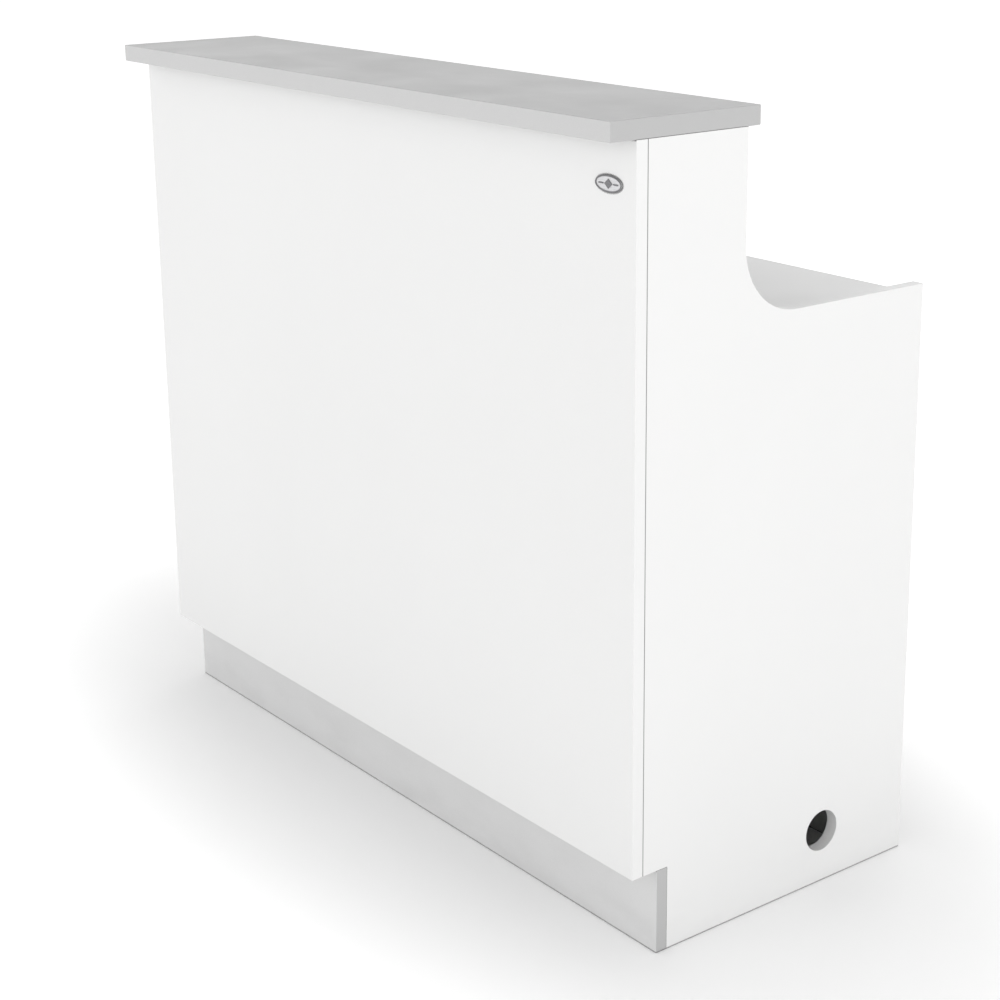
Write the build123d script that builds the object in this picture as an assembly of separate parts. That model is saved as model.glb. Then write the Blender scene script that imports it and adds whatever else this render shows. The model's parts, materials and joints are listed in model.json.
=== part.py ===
"""Checkout counter: a board-built service counter with a raised customer ledge.

Frame: millimetres, +Z up, +X along the counter's length, -Y towards the customer.
The origin is on the floor, under the middle of the whole counter's box.
"""
from build123d import *
import os

# ---- driving dimensions -------------------------------------------------------------
WIDTH = 1200.0          # over the side panels
HEIGHT = 1100.0         # floor to the top of the customer ledge
DEPTH = 510.0           # front panel's outer face to the side panels' rear edges
BOARD = 18.0            # carcass board
TOP_BOARD = 25.0        # ledge and worktop board
EDGE_ROUND = 0.6        # rounding of an 18 mm board's edge band
TOP_ROUND = 1.0         # rounding of the ledge's edge band

LEDGE_OVERHANG = 40.0   # ledge in front of the front panel
LEDGE_DEPTH = 240.0
WORKTOP_Z = 820.0       # top face of the operator's worktop
WING_Z = 835.0          # top edge of the low part of each side panel
SHOULDER_Y = 180.0      # rear edge of the high part of each side panel
SHOULDER_R = 90.0       # sweep between the high and the low part

KICK_H = 120.0
KICK_RECESS = 42.0      # toe kick behind the front panel's outer face
REAR_KICK_RECESS = 40.0

CABLE_HOLE_R = 30.0
CABLE_HOLE_Y = 348.0
CABLE_HOLE_Z = 78.0

KNEE_WIDTH = 500.0      # clear width between the two inner uprights

GAP = 3.0               # between two drawer fronts, and above and below them
SIDE_GAP = 2.0          # beside a drawer front
TOP_DRAWER_H = 155.0
DRAWER_BOARD = 12.0
DRAWER_BOTTOM = 4.0
GROOVE = 5.0
DRAWER_LENGTH = 400.0
RUNNER_SPACE = 13.0     # beside the drawer box
RUNNER_T = 12.7         # runner's whole thickness
RUNNER_LIFT = 40.0      # runner's centre above the box's lower edge
BOX_LIFT = 15.0         # box's lower edge above the front's lower edge
TOP_BOX_H = 100.0
DEEP_BOX_H = 180.0

HANDLE_CENTRES = 128.0
HANDLE_BAR_R = 5.0
HANDLE_POST_R = 4.0
HANDLE_FOOT_R = 6.5
HANDLE_OVER = 8.0       # bar's length beyond each post's axis
HANDLE_REACH = 28.0
HANDLE_SCREW_R = 2.3    # clearance for an M4 screw

CAM_SETBACK = 34.0      # cam centre behind the joint
CAM_R = 7.5
CAM_H = 12.0
BOLT_SHANK_R = 3.4
BOLT_THREAD_R = 2.45
BOLT_THREAD = 10.5      # thread's length in the far board
DOWEL_R = 4.0
DOWEL_DEPTH = 18.0      # dowel bore in the cam board
DOWEL_FAR_DEPTH = 12.0  # dowel bore in the far board
DOWEL_PITCH = 32.0      # dowel beside its cam bolt
PANEL_JOINT_ZS = (220.0, 480.0, 740.0, 1000.0)
UPRIGHT_JOINT_ZS = (300.0, 600.0)
LEDGE_JOINT_YS = (50.0, 150.0)      # behind the front panel's outer face
BOARD_JOINT_YS = (120.0, 400.0)
SUPPORT_JOINT_Y = 70.0

# ---- places worked out from the driving dimensions ----------------------------------
FRONT_Y = LEDGE_OVERHANG - (LEDGE_OVERHANG + DEPTH + HANDLE_REACH) / 2
BACK_Y = FRONT_Y + DEPTH
INNER_Y = FRONT_Y + BOARD
FACE_Y = BACK_Y - BOARD                 # inner face of the drawer fronts and the door
SIDE_X = WIDTH / 2 - BOARD              # inner face of a side panel
KNEE_X = KNEE_WIDTH / 2
BAY_X = KNEE_X + BOARD                  # bay side of an inner upright
UPRIGHT_X = KNEE_X + BOARD / 2
LEDGE_Z = HEIGHT - TOP_BOARD            # underside of the ledge
UNDER_Z = WORKTOP_Z - TOP_BOARD         # underside of the worktop
FLOOR_Z = KICK_H + BOARD                # top face of the bay floors
KICK_Y = FRONT_Y + KICK_RECESS
KICK_BACK_Y = KICK_Y + BOARD
REAR_KICK_Y = BACK_Y - REAR_KICK_RECESS
HALF = BOARD / 2

X_AXIS = Vector(1, 0, 0)
Y_AXIS = Vector(0, 1, 0)
Z_AXIS = Vector(0, 0, 1)
FROM_START = (Align.CENTER, Align.CENTER, Align.MIN)

# ---- small helpers ------------------------------------------------------------------


def block(x0, x1, y0, y1, z0, z1):
    """A box between two corners."""
    centre = Pos((x0 + x1) / 2, (y0 + y1) / 2, (z0 + z1) / 2)
    return centre * Box(abs(x1 - x0), abs(y1 - y0), abs(z1 - z0))


def rod(start, direction, length, radius):
    """A cylinder that starts at a point and runs along a direction."""
    return Plane(origin=start, z_dir=direction) * Cylinder(radius, length, align=FROM_START)


def board(x0, x1, y0, y1, z0, z1, radius=EDGE_ROUND):
    """A rectangular board with its edge band rounded."""
    plain = block(x0, x1, y0, y1, z0, z1)
    return fillet(plain.edges(), radius)


def profile_board(points, x0, x1, corner=None, corner_radius=0.0):
    """A board cut to an outline in Y and Z, with one inside corner swept."""
    outline = Polyline(points, close=True)
    face = make_face(Plane.YZ * outline)
    solid = Pos(x0, 0, 0) * extrude(face, x1 - x0, dir=X_AXIS)
    if corner is not None:
        swept = [e for e in solid.edges().filter_by(Axis.X)
                 if abs(e.center().Y - corner[0]) < 1 and abs(e.center().Z - corner[1]) < 1]
        solid = fillet(swept, corner_radius)
    return fillet(solid.edges(), EDGE_ROUND)


def save(name, shape):
    """Write one piece, or one group of separate pieces, as its own file."""
    export_step(shape, f"parts/{name}.step")


# ---- carcass boards -----------------------------------------------------------------


def side_panel(sign):
    """Full-height side panel: notched for the toe kick, swept down to the worktop."""
    points = [(INNER_Y, KICK_H), (INNER_Y, LEDGE_Z), (FRONT_Y + SHOULDER_Y, LEDGE_Z),
              (FRONT_Y + SHOULDER_Y, WING_Z), (BACK_Y, WING_Z), (BACK_Y, 0),
              (KICK_BACK_Y, 0), (KICK_BACK_Y, KICK_H)]
    x0, x1 = sorted((sign * SIDE_X, sign * WIDTH / 2))
    return profile_board(points, x0, x1, (FRONT_Y + SHOULDER_Y, WING_Z), SHOULDER_R)


def upright(sign):
    """Inner upright between a bay and the knee space."""
    points = [(INNER_Y, KICK_H), (INNER_Y, UNDER_Z), (BACK_Y, UNDER_Z), (BACK_Y, 0),
              (KICK_BACK_Y, 0), (KICK_BACK_Y, KICK_H)]
    x0, x1 = sorted((sign * KNEE_X, sign * BAY_X))
    return profile_board(points, x0, x1)


def bay_board(sign, y0, y1, z0, z1):
    """A board that spans one bay from its side panel to its upright."""
    x0, x1 = sorted((sign * BAY_X, sign * SIDE_X))
    return board(x0, x1, y0, y1, z0, z1)


def ledge_support(sign):
    """Divider that carries the ledge over the worktop."""
    x0, x1 = sorted((sign * KNEE_X, sign * BAY_X))
    return board(x0, x1, INNER_Y, FRONT_Y + SHOULDER_Y, WORKTOP_Z, LEDGE_Z)


def carcass():
    """Every fixed board, by name."""
    half = WIDTH / 2
    ledge_y = FRONT_Y - LEDGE_OVERHANG
    boards = {
        "front_panel": board(-half, half, FRONT_Y, INNER_Y, KICK_H, LEDGE_Z),
        "toe_kick": board(-half, half, KICK_Y, KICK_BACK_Y, 0, KICK_H),
        "knee_rail": board(-KNEE_X, KNEE_X, INNER_Y, KICK_BACK_Y, KICK_H, FLOOR_Z),
        "ledge_top": board(-half, half, ledge_y, ledge_y + LEDGE_DEPTH, LEDGE_Z, HEIGHT, TOP_ROUND),
        "worktop": board(-SIDE_X, SIDE_X, INNER_Y, BACK_Y, UNDER_Z, WORKTOP_Z),
    }
    for side, sign in (("left", -1), ("right", 1)):
        boards[f"{side}_side_panel"] = side_panel(sign)
        boards[f"{side}_upright"] = upright(sign)
        boards[f"{side}_bay_floor"] = bay_board(sign, INNER_Y, BACK_Y, KICK_H, FLOOR_Z)
        boards[f"{side}_rear_kick"] = bay_board(sign, REAR_KICK_Y - BOARD, REAR_KICK_Y, 0, KICK_H)
        boards[f"{side}_ledge_support"] = ledge_support(sign)
    return boards


# ---- knock-down fittings: cam, cam bolt and dowel at every joint --------------------


def fitting(cam_board, bolt_board, point, inward, face, dowel_side=1):
    """One joint. The point lies in the joint, 9 mm under the face that shows the cam."""
    along = inward.cross(face) * dowel_side
    return {"cam_board": cam_board, "bolt_board": bolt_board, "point": point,
            "inward": inward, "face": face, "dowel": point + along * DOWEL_PITCH}


def side_fittings(side, sign):
    """The joints of one side panel, upright, bay floor, rear kick and ledge support."""
    panel, inner = f"{side}_side_panel", f"{side}_upright"
    floor, kick, support = f"{side}_bay_floor", f"{side}_rear_kick", f"{side}_ledge_support"
    to_bay = X_AXIS * -sign
    out_x = X_AXIS * sign
    panel_x = sign * (SIDE_X + HALF)
    wall_x = sign * SIDE_X
    bay_x = sign * BAY_X
    mid_x = sign * UPRIGHT_X
    joints = []
    for z in PANEL_JOINT_ZS:
        at = Vector(panel_x, INNER_Y, z)
        joints.append(fitting(panel, "front_panel", at, Y_AXIS, to_bay, -sign))
    for z in UPRIGHT_JOINT_ZS:
        at = Vector(mid_x, INNER_Y, z)
        joints.append(fitting(inner, "front_panel", at, Y_AXIS, out_x, sign))
    for name, x, face in ((panel, panel_x, to_bay), (inner, mid_x, out_x)):
        at = Vector(x, KICK_BACK_Y, KICK_H / 2)
        joints.append(fitting(name, "toe_kick", at, Y_AXIS, face, face.X))
    for y, turn in zip(LEDGE_JOINT_YS, (1, -1)):
        at = Vector(panel_x, FRONT_Y + y, LEDGE_Z)
        joints.append(fitting(panel, "ledge_top", at, -Z_AXIS, to_bay, sign * turn))
    for y, turn in zip(BOARD_JOINT_YS, (1, -1)):
        at = Vector(wall_x, FRONT_Y + y, UNDER_Z + HALF)
        joints.append(fitting("worktop", panel, at, to_bay, -Z_AXIS, -sign * turn))
        at = Vector(mid_x, FRONT_Y + y + 30, UNDER_Z)
        joints.append(fitting(inner, "worktop", at, -Z_AXIS, out_x, sign * turn))
        at = Vector(wall_x, FRONT_Y + y, KICK_H + HALF)
        joints.append(fitting(floor, panel, at, to_bay, -Z_AXIS, -sign * turn))
        at = Vector(bay_x, FRONT_Y + y, KICK_H + HALF)
        joints.append(fitting(floor, inner, at, out_x, -Z_AXIS, sign * turn))
    for name, x, inward in ((panel, wall_x, to_bay), (inner, bay_x, out_x)):
        at = Vector(x, REAR_KICK_Y - HALF, KICK_H / 2)
        joints.append(fitting(kick, name, at, inward, -Y_AXIS, 1))
    at = Vector(mid_x, FRONT_Y + SUPPORT_JOINT_Y, LEDGE_Z)
    joints.append(fitting(support, "ledge_top", at, -Z_AXIS, out_x, sign))
    at = Vector(mid_x, FRONT_Y + SUPPORT_JOINT_Y, WORKTOP_Z)
    joints.append(fitting(support, "worktop", at, Z_AXIS, out_x, -sign))
    at = Vector(sign * KNEE_X * 0.6, INNER_Y, UNDER_Z + HALF)
    joints.append(fitting("worktop", "front_panel", at, Y_AXIS, -Z_AXIS, sign))
    return joints


def cam_solid(joint):
    """Eccentric cam: a drum with a driver cross and a throat for the bolt head."""
    centre = joint["point"] + joint["inward"] * CAM_SETBACK
    top = centre + joint["face"] * (HALF - 0.2)
    cross_length, cross_width, cross_depth = 9.0, 1.8, 4.0
    drum = rod(top, -joint["face"], CAM_H, CAM_R - 0.1)
    drum -= rod(centre, -joint["inward"], CAM_SETBACK, BOLT_SHANK_R)
    plane = Plane(origin=top, x_dir=joint["inward"], z_dir=joint["face"])
    drum -= plane * Box(cross_length, cross_width, cross_depth)
    drum -= plane * Box(cross_width, cross_length, cross_depth)
    return drum


def bolt_solid(joint):
    """Cam bolt: thread, shank, neck and head on one axis."""
    point, inward = joint["point"], joint["inward"]
    shank, neck, head_start, head = 26.0, 31.0, 29.0, 3.0
    bolt = rod(point - inward * BOLT_THREAD, inward, BOLT_THREAD, BOLT_THREAD_R)
    bolt += rod(point, inward, shank, BOLT_SHANK_R)
    bolt += rod(point, inward, neck, 1.5)
    bolt += rod(point + inward * head_start, inward, head, 2.8)
    return bolt


def dowel_solid(joint):
    """Beech dowel across the joint, with rounded ends."""
    start = joint["dowel"] - joint["inward"] * (DOWEL_FAR_DEPTH - 1.0)
    length = DOWEL_FAR_DEPTH + DOWEL_DEPTH - 2.0
    plain = rod(start, joint["inward"], length, DOWEL_R - 0.05)
    return fillet(plain.edges().filter_by(GeomType.CIRCLE), 1.0)


def bore_boards(boards, joints):
    """Drill each board for the fittings that it carries."""
    cuts = {name: [] for name in boards}
    for joint in joints:
        inward, face, point = joint["inward"], joint["face"], joint["point"]
        cam_top = point + inward * CAM_SETBACK + face * HALF
        cuts[joint["cam_board"]] += [
            rod(cam_top, -face, CAM_H + 0.5, CAM_R),
            rod(point, inward, CAM_SETBACK, BOLT_SHANK_R + 0.1),
            rod(joint["dowel"], inward, DOWEL_DEPTH, DOWEL_R),
        ]
        cuts[joint["bolt_board"]] += [
            rod(point, -inward, BOLT_THREAD + 0.5, BOLT_THREAD_R + 0.05),
            rod(joint["dowel"], -inward, DOWEL_FAR_DEPTH, DOWEL_R),
        ]
    for name, tools in cuts.items():
        if tools:
            boards[name] = boards[name] - tools


# ---- drawers ------------------------------------------------------------------------


def drawer_rows():
    """Lower and upper edge of each drawer front, from the top drawer down."""
    open_height = UNDER_Z - FLOOR_Z
    deep = (open_height - TOP_DRAWER_H - 4 * GAP) / 2
    rows = []
    top = UNDER_Z - GAP
    for height in (TOP_DRAWER_H, deep, deep):
        rows.append((top - height, top))
        top -= height + GAP
    return rows


DRAWERS = drawer_rows()
BOX_HEIGHTS = (TOP_BOX_H, DEEP_BOX_H, DEEP_BOX_H)
DRAWER_X = -(SIDE_X + BAY_X) / 2        # middle of the drawer bay
BOX_X0 = -SIDE_X + RUNNER_SPACE
BOX_X1 = -BAY_X - RUNNER_SPACE
BOX_Y0 = FACE_Y - DRAWER_LENGTH

LOCK_Z = DRAWERS[0][1] - 17.0
LOCK_BARREL_R = 9.4
LOCK_FLANGE_R = 11.5
LOCK_PLUG_R = 6.0
LOCK_TAIL_R = 3.0
LOCK_FACE = 2.4         # plug's face above the drawer front
KEY_DEPTH = 14.0        # key blade inside the plug
KEY_HALF_T = 1.0
KEY_HALF_H = 3.8
TONGUE_REACH = 27.0     # from the plug's axis
TONGUE_HALF_W = 6.0
TONGUE_T = 2.0
TONGUE_Y = FACE_Y - 5   # tongue's rear face, against the plug's shoulder


def bow_handle(centre, along):
    """Bow handle: a round bar on two posts that stand on a rear face."""
    reach = HANDLE_REACH - HANDLE_BAR_R
    half = along * (HANDLE_CENTRES / 2)
    bar_start = centre - half - along * HANDLE_OVER + Y_AXIS * reach
    bar = rod(bar_start, along, HANDLE_CENTRES + 2 * HANDLE_OVER, HANDLE_BAR_R)
    bar = fillet(bar.edges().filter_by(GeomType.CIRCLE), 1.5)
    for end in (centre - half, centre + half):
        bar += rod(end, Y_AXIS, reach, HANDLE_POST_R)
        bar += rod(end, Y_AXIS, 2.0, HANDLE_FOOT_R)
    return bar


def handle_bores(centre, along):
    """Clearance holes for a handle's two screws."""
    half = along * (HANDLE_CENTRES / 2)
    return [rod(end, -Y_AXIS, BOARD, HANDLE_SCREW_R) for end in (centre - half, centre + half)]


def drawer_front(index):
    """Inset drawer front, drilled for its handle, and for the lock on the top one."""
    low, high = DRAWERS[index]
    front = board(-SIDE_X + SIDE_GAP, -BAY_X - SIDE_GAP, FACE_Y, BACK_Y, low, high)
    front -= handle_bores(drawer_handle_centre(index), X_AXIS)
    if index == 0:
        front -= rod(Vector(DRAWER_X, FACE_Y, LOCK_Z), Y_AXIS, BOARD, LOCK_BARREL_R + 0.1)
    return front


def drawer_handle_centre(index):
    """Where a drawer's handle stands on its front."""
    low, high = DRAWERS[index]
    return Vector(DRAWER_X, BACK_Y, (low + high) / 2)


def drawer_box(index):
    """Sides, back and grooved-in bottom of one drawer box."""
    z0 = DRAWERS[index][0] + BOX_LIFT
    z1 = z0 + BOX_HEIGHTS[index]
    groove_z = z0 + 10.0
    inner_x0 = BOX_X0 + DRAWER_BOARD
    inner_x1 = BOX_X1 - DRAWER_BOARD
    back_y = BOX_Y0 + DRAWER_BOARD
    groove = block(inner_x0 - GROOVE, inner_x1 + GROOVE, back_y - GROOVE, FACE_Y,
                   groove_z, groove_z + DRAWER_BOTTOM)
    left = board(BOX_X0, inner_x0, BOX_Y0, FACE_Y, z0, z1) - groove
    right = board(inner_x1, BOX_X1, BOX_Y0, FACE_Y, z0, z1) - groove
    back = board(inner_x0, inner_x1, BOX_Y0, back_y, z0, z1) - groove
    return {"left_side": left, "right_side": right, "back": back, "bottom": groove}


def runner_profile(web, lips, half_height, wall=1.2):
    """Channel section from the bay wall: web and lips as distances from the wall."""
    shape = block(web[0], web[1], 0, DRAWER_LENGTH, -half_height, half_height)
    for sign in (-1, 1):
        outer, inner = sign * half_height, sign * (half_height - wall)
        shape += block(lips[0], lips[1], 0, DRAWER_LENGTH, min(outer, inner), max(outer, inner))
    return shape


# web, lips (from the bay wall) and half the height of each runner member
RUNNER_MEMBERS = {
    "outer": ((0.0, 1.2), (0.0, 10.0), 22.5),
    "middle": ((4.0, 5.2), (4.0, 11.2), 18.5),
    "inner": ((11.5, RUNNER_T), (6.5, RUNNER_T), 13.5),
}


def runner_pair(index, member):
    """The left and right member of one drawer's telescopic runners."""
    web, lips, half_height = RUNNER_MEMBERS[member]
    z = DRAWERS[index][0] + BOX_LIFT + RUNNER_LIFT
    channel = runner_profile(web, lips, half_height)
    start_y = BOX_Y0 - 2.0
    left = Pos(-SIDE_X, start_y, z) * channel
    right = Pos(-BAY_X, start_y, z) * mirror(channel, about=Plane.YZ)
    if member == "inner":
        slack = RUNNER_SPACE - RUNNER_T
        left = Pos(slack, 0, 0) * left
        right = Pos(-slack, 0, 0) * right
    return [left, right]


# ---- lock on the top drawer ---------------------------------------------------------


def lock_housing():
    """Barrel with an outer flange, bored for the plug."""
    start = Vector(DRAWER_X, FACE_Y - 4, LOCK_Z)
    barrel = rod(start, Y_AXIS, BOARD + 4, LOCK_BARREL_R)
    flange = rod(Vector(DRAWER_X, BACK_Y, LOCK_Z), Y_AXIS, 2.0, LOCK_FLANGE_R)
    flange = fillet(flange.edges().group_by(Axis.Y)[-1], 1.0)
    bore = rod(start - Y_AXIS, Y_AXIS, BOARD + 10, LOCK_PLUG_R + 0.1)
    return barrel + flange - bore


def key_way(clearance):
    """Slot for the key blade, open at the plug's face."""
    half_t, half_h = KEY_HALF_T + clearance, KEY_HALF_H + clearance
    return block(DRAWER_X - half_t, DRAWER_X + half_t, BACK_Y - KEY_DEPTH - clearance,
                 BACK_Y + LOCK_FACE, LOCK_Z - half_h, LOCK_Z + half_h)


def lock_plug():
    """Turning plug with its key way, and a tail that carries the tongue."""
    start = Vector(DRAWER_X, TONGUE_Y, LOCK_Z)
    tail_length = 2 * TONGUE_T
    plug = rod(start, Y_AXIS, BACK_Y + LOCK_FACE - TONGUE_Y, LOCK_PLUG_R)
    tail = rod(start - Y_AXIS * tail_length, Y_AXIS, tail_length, LOCK_TAIL_R)
    return plug + tail - key_way(0.1)


def lock_tongue():
    """Flat tongue on the plug's tail. It lies level when the drawer is unlocked."""
    start = Vector(DRAWER_X, TONGUE_Y - TONGUE_T, LOCK_Z)
    tongue = block(DRAWER_X - TONGUE_REACH, DRAWER_X, TONGUE_Y - TONGUE_T, TONGUE_Y,
                   LOCK_Z - TONGUE_HALF_W, LOCK_Z + TONGUE_HALF_W)
    tongue += rod(start, Y_AXIS, TONGUE_T, TONGUE_HALF_W + 2)
    return tongue - rod(start - Y_AXIS, Y_AXIS, TONGUE_T + 2, LOCK_TAIL_R)


def tongue_slot():
    """Pocket in the worktop's underside, wide enough for the tongue's corner as it rises."""
    corner_r = (TONGUE_REACH ** 2 + TONGUE_HALF_W ** 2) ** 0.5
    entry = (corner_r ** 2 - (UNDER_Z - LOCK_Z) ** 2) ** 0.5
    slack, depth = 2.0, 9.0
    return block(DRAWER_X - entry - slack, DRAWER_X + TONGUE_HALF_W + slack,
                 TONGUE_Y - TONGUE_T - slack, TONGUE_Y + slack, UNDER_Z, UNDER_Z + depth)


def lock_key():
    """Plain key: blade in the key way and a round bow with a ring hole."""
    bow_y, bow_r, ring_r = BACK_Y + 16.0, 10.0, 2.6
    blade = block(DRAWER_X - KEY_HALF_T, DRAWER_X + KEY_HALF_T, BACK_Y - KEY_DEPTH, bow_y,
                  LOCK_Z - KEY_HALF_H, LOCK_Z + KEY_HALF_H)
    bow_start = Vector(DRAWER_X - KEY_HALF_T, bow_y, LOCK_Z)
    bow = rod(bow_start, X_AXIS, 2 * KEY_HALF_T, bow_r)
    ring_hole = rod(bow_start + Y_AXIS * 4 - X_AXIS, X_AXIS, 2 * KEY_HALF_T + 2, ring_r)
    return blade + bow - ring_hole


# ---- cupboard -----------------------------------------------------------------------

HINGE_GAP = 3.2
LEAF = 1.2
PIN_R = 1.6
KNUCKLE_R = 3.5
LEAF_WIDTH = 26.0       # leaf over the board's edge
HINGE_SCREW_R = 2.2
HINGE_SCREW_BACK = 13.0
HINGE_SCREW_RISE = 18.0
HINGE_H = 60.0
HINGE_X = SIDE_X - HINGE_GAP / 2
HINGE_Y = BACK_Y + KNUCKLE_R + 0.2
DOOR_Z0 = FLOOR_Z + GAP
DOOR_Z1 = UNDER_Z - GAP
HINGE_ZS = (DOOR_Z0 + 100.0, DOOR_Z1 - 100.0)
KNUCKLES = 5

DOOR_X0 = BAY_X + SIDE_GAP
DOOR_X1 = SIDE_X - HINGE_GAP
DOOR_HANDLE = Vector(DOOR_X0 + 40.0, BACK_Y, DOOR_Z1 - 170.0)

CATCH_LENGTH = 46.0
CATCH_H = 13.0
CATCH_X = DOOR_X0 + 38.0
PLATE_H = 12.0

SHELF_Z = 450.0
PIN_ROWS_Y = (FRONT_Y + 70.0, FRONT_Y + 440.0)
SHELF_PIN_R = 2.5
SHELF_PIN_DEPTH = 9.0   # pin bore in the board
SHELF_PIN_PITCH = 32.0
SHELF_PIN_STEPS = 4     # spare holes above and below the ones in use


def door_panel():
    """Inset cupboard door, drilled for its handle."""
    panel = board(DOOR_X0, DOOR_X1, FACE_Y, BACK_Y, DOOR_Z0, DOOR_Z1)
    return panel - handle_bores(DOOR_HANDLE, Z_AXIS)


def hinge_leaf(middle_z, moving):
    """One leaf of a butt hinge, with every second knuckle."""
    gap, play = 0.3, 0.1
    step = HINGE_H / KNUCKLES
    low = middle_z - HINGE_H / 2
    if moving:
        x0, x1 = DOOR_X1, DOOR_X1 + LEAF
    else:
        x0, x1 = SIDE_X - LEAF, SIDE_X
    leaf = block(x0, x1, BACK_Y - LEAF_WIDTH, HINGE_Y, low, low + HINGE_H)
    others = [i for i in range(KNUCKLES) if (i % 2 == 1) != moving]
    own = [i for i in range(KNUCKLES) if (i % 2 == 1) == moving]
    for i in others:
        z = low + i * step - gap
        leaf -= block(x0 - 9, x1 + 9, BACK_Y - 0.3, HINGE_Y + 9, z, z + step + 2 * gap)
    for i in own:
        start = Vector(HINGE_X, HINGE_Y, low + i * step + play)
        leaf += rod(start, Z_AXIS, step - 2 * play, KNUCKLE_R)
    leaf -= rod(Vector(HINGE_X, HINGE_Y, low - 1), Z_AXIS, HINGE_H + 2, PIN_R + 0.05)
    for rise in (-HINGE_SCREW_RISE, HINGE_SCREW_RISE):
        start = Vector(x0 - 1, BACK_Y - HINGE_SCREW_BACK, middle_z + rise)
        leaf -= rod(start, X_AXIS, LEAF + 2, HINGE_SCREW_R)
    return leaf


def hinge_pin(middle_z):
    """Hinge pin with a small head at each end."""
    low = middle_z - HINGE_H / 2
    gap, head_h, head_r = 0.3, 2.2, 2.8
    pin = rod(Vector(HINGE_X, HINGE_Y, low - head_h), Z_AXIS, HINGE_H + 2 * head_h, PIN_R)
    for head_z in (low - gap - head_h, low + HINGE_H + gap):
        pin += rod(Vector(HINGE_X, HINGE_Y, head_z), Z_AXIS, head_h, head_r)
    return pin


def catch_body():
    """Magnetic catch under the worktop, behind the door's free edge."""
    half = CATCH_LENGTH / 2
    case = block(CATCH_X - half, CATCH_X + half, FACE_Y - 17, FACE_Y - 3, UNDER_Z - CATCH_H, UNDER_Z)
    case = fillet(case.edges().filter_by(Axis.Z), 1.5)
    pole_y0, pole_y1 = FACE_Y - 6, FACE_Y - 1.6
    pole_z0, pole_z1 = UNDER_Z - CATCH_H + 2.5, UNDER_Z - 4.5
    for x in (CATCH_X - 9, CATCH_X + 9):
        case += block(x - 8, x + 8, pole_y0, pole_y1, pole_z0, pole_z1)
    return case


def catch_plate():
    """Steel strike plate on the door's inner face."""
    half, thick = CATCH_LENGTH / 2 - 3.0, 1.2
    plate = block(CATCH_X - half, CATCH_X + half, FACE_Y - thick, FACE_Y,
                  DOOR_Z1 - 1 - PLATE_H, DOOR_Z1 - 1)
    return fillet(plate.edges().filter_by(Axis.Y), 1.5)


def shelf():
    """Loose shelf, a little narrower than the cupboard."""
    slack, front_gap, rear_gap = 0.8, 4.0, 12.0
    return board(BAY_X + slack, SIDE_X - slack, INNER_Y + front_gap, FACE_Y - rear_gap,
                 SHELF_Z, SHELF_Z + BOARD)


def shelf_pin_places():
    """The four pins in use: start point in the board's face, and the way they stand out."""
    z = SHELF_Z - SHELF_PIN_R
    return [(Vector(x, y, z), X_AXIS * out) for x, out in ((BAY_X, 1), (SIDE_X, -1))
            for y in PIN_ROWS_Y]


def shelf_pin(start, out):
    """Steel pin with a collar against the board."""
    depth = SHELF_PIN_DEPTH - 1.0
    pin = rod(start - out * depth, out, 2 * depth, SHELF_PIN_R - 0.05)
    collar_t, collar_r = 1.2, 3.6
    collar = rod(start, out, collar_t, collar_r)
    above_shelf = block(-WIDTH, WIDTH, start.Y - 9, start.Y + 9, SHELF_Z, SHELF_Z + 9)
    return pin + collar - above_shelf


def shelf_pin_bores(x, out):
    """Two columns of pin holes in one board, at a pitch of 32 mm."""
    z = SHELF_Z - SHELF_PIN_R
    steps = range(-SHELF_PIN_STEPS, SHELF_PIN_STEPS + 1)
    return [rod(Vector(x, y, z + k * SHELF_PIN_PITCH), X_AXIS * -out, SHELF_PIN_DEPTH, SHELF_PIN_R)
            for y in PIN_ROWS_Y for k in steps]


# ---- cable grommet in the worktop ---------------------------------------------------

GROMMET_Y = FRONT_Y + 92.0
GROMMET_R = 30.0
GROMMET_FLANGE_R = 34.5
GROMMET_FLANGE_T = 2.6
GROMMET_DEPTH = 17.0
GROMMET_INNER_R = 23.5
CAP_SEAT = 1.2          # cap's ledge below the worktop's face
CAP_R = 25.6
CAP_T = 3.2
NOTCH_R = 9.0


def grommet_sleeve():
    """Flanged sleeve with a ring inside that carries the cap."""
    bottom = Vector(0, GROMMET_Y, WORKTOP_Z - GROMMET_DEPTH)
    sleeve = rod(bottom, Z_AXIS, GROMMET_DEPTH, GROMMET_R - 0.2)
    flange = rod(Vector(0, GROMMET_Y, WORKTOP_Z), Z_AXIS, GROMMET_FLANGE_T, GROMMET_FLANGE_R)
    flange = fillet(flange.edges().group_by(Axis.Z)[-1], 1.6)
    sleeve += flange
    sleeve -= rod(bottom - Z_AXIS, Z_AXIS, 2 * GROMMET_DEPTH, GROMMET_INNER_R)
    sleeve -= rod(Vector(0, GROMMET_Y, WORKTOP_Z - CAP_SEAT), Z_AXIS, GROMMET_DEPTH, CAP_R + 0.4)
    return sleeve


def grommet_cap():
    """Turning cap with a cable notch at its rim."""
    base_z = WORKTOP_Z - CAP_SEAT + 0.3
    cap = rod(Vector(0, GROMMET_Y, base_z), Z_AXIS, CAP_T, CAP_R)
    cap = fillet(cap.edges().group_by(Axis.Z)[-1], 0.8)
    notch_y = GROMMET_Y - 14.0
    notch = block(-NOTCH_R, NOTCH_R, GROMMET_Y - GROMMET_R, notch_y, base_z - 1, base_z + 2 * CAP_T)
    notch += rod(Vector(0, notch_y, base_z - 1), Z_AXIS, 2 * CAP_T + 1, NOTCH_R)
    return cap - notch


# ---- oval badge ---------------------------------------------------------------------

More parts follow.
